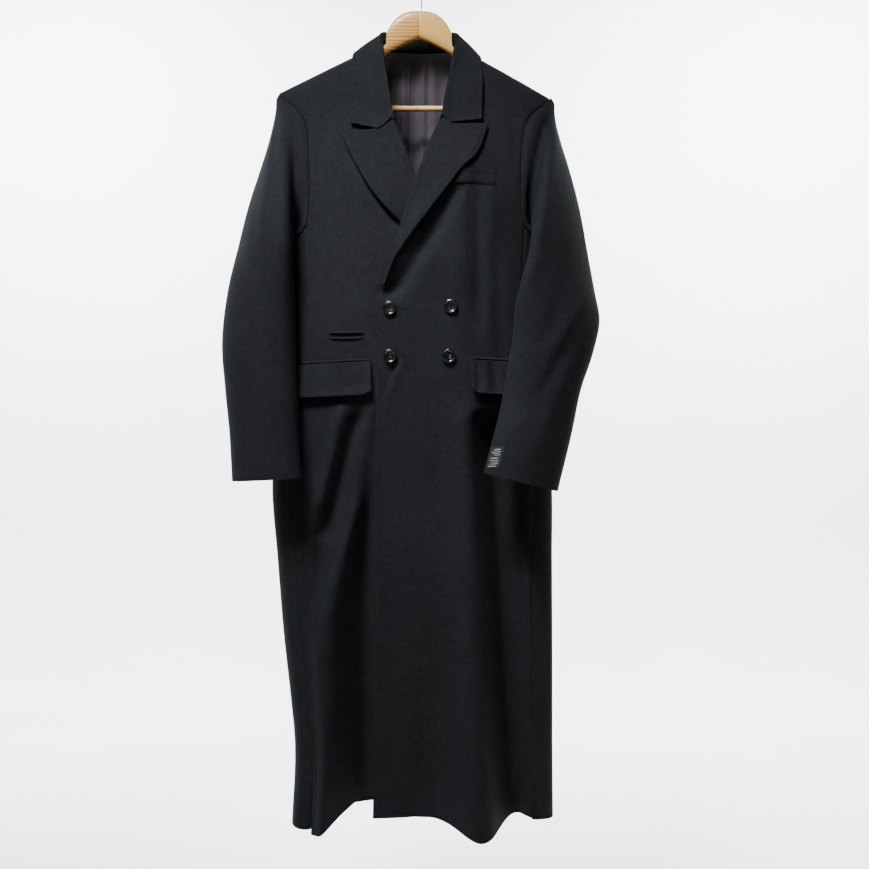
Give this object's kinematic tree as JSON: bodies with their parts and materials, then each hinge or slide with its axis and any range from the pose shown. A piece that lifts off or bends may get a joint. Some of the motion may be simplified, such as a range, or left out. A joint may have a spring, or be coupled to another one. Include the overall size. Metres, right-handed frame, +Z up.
{
  "type": "double-breasted coat on a hanger",
  "caption": "Long double-breasted wool coat with peaked lapel, notched lapel, flap pockets and a chest welt, hanging from a wooden hanger with a trouser bar.",
  "frame": {"origin": "inside top of the hanger's hook, where the rod it hangs on touches it", "axes": "+Z up, the front of the coat faces -Y, +X is the wearer's left, which is on the right of someone who looks at the front"},
  "size_m": [0.6264, 0.2166, 1.4406],
  "materials": {
    "wool": "matt, short nap",
    "lining": "satin twill",
    "horn": "polished",
    "tape": "woven, matt",
    "wood": "clear satin varnish",
    "wire": "polished"
  },
  "bodies": {
    "root": {"right_front": "wool", "left_front": "wool", "right_back": "wool", "left_back": "wool", "right_side": "wool", "left_side": "wool", "right_top_sleeve": "wool", "left_top_sleeve": "wool", "right_under_sleeve": "wool", "left_under_sleeve": "wool", "right_lapel": "wool", "left_lapel": "wool", "collar": "wool", "right_flap": "wool", "left_flap": "wool", "right_jetting": "wool", "left_jetting": "wool", "ticket_jetting_upper": "wool", "ticket_jetting_lower": "wool", "chest_welt": "wool", "back_lining": "lining", "button_upper_right": "horn", "button_upper_left": "horn", "button_lower_right": "horn", "button_lower_left": "horn", "sleeve_label": "tape", "hanger_body": "wood", "hanger_bar": "wood", "hanger_hook": "wire"}
  },
  "joints": []
}
